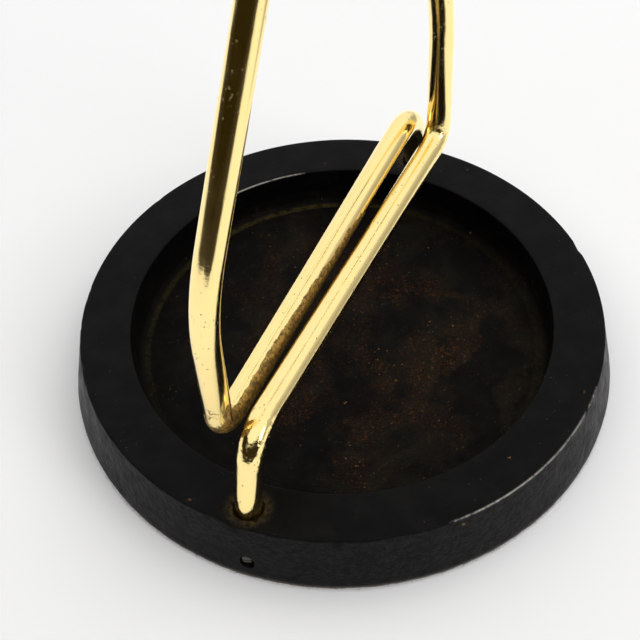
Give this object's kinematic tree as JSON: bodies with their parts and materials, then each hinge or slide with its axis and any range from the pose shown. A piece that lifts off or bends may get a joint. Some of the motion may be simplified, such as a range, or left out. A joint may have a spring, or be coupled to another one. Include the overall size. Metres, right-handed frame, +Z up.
{
  "type": "umbrella and stick stand",
  "caption": "Round black cast-iron drip tray with crossed bent brass rods rising from its rim to a top ring that holds umbrellas, sticks or furled flags.",
  "frame": {"origin": "middle of the underside of the felt, on the floor", "axes": "+Z up through the middle of the dish and the ring; -Y is the front, the side with the nearer rod socket"},
  "size_m": [0.2084, 0.2084, 0.4868],
  "materials": {
    "black_iron": "black finish over cast iron, semi-matt rim, rust flecks in the dish",
    "polished_brass": "polished and lightly tarnished",
    "brazing_metal": "smoothed brazing",
    "dark_steel": "oiled dark steel",
    "brown_felt": "brown felt"
  },
  "bodies": {
    "base": {"base_casting": "black_iron", "felt_pad": "brown_felt"},
    "frame": {"rod_front": "polished_brass", "rod_rear": "polished_brass", "top_ring": "polished_brass", "braze_fillet_front": "brazing_metal", "braze_fillet_rear": "brazing_metal"},
    "set_screw_front": {"set_screw_front": "dark_steel"},
    "set_screw_rear": {"set_screw_rear": "dark_steel"}
  },
  "joints": [
    {"name": "frame_lift", "type": "slide", "parent": "base", "child": "frame", "axis": [0, 0, 1], "range_m": [0, 0.03]},
    {"name": "set_screw_front_travel", "type": "slide", "parent": "base", "child": "set_screw_front", "axis": [-0.165, -0.9863, 0], "range_m": [0, 0.008]},
    {"name": "set_screw_rear_travel", "type": "slide", "parent": "base", "child": "set_screw_rear", "axis": [0.165, 0.9863, 0], "range_m": [0, 0.008]}
  ]
}
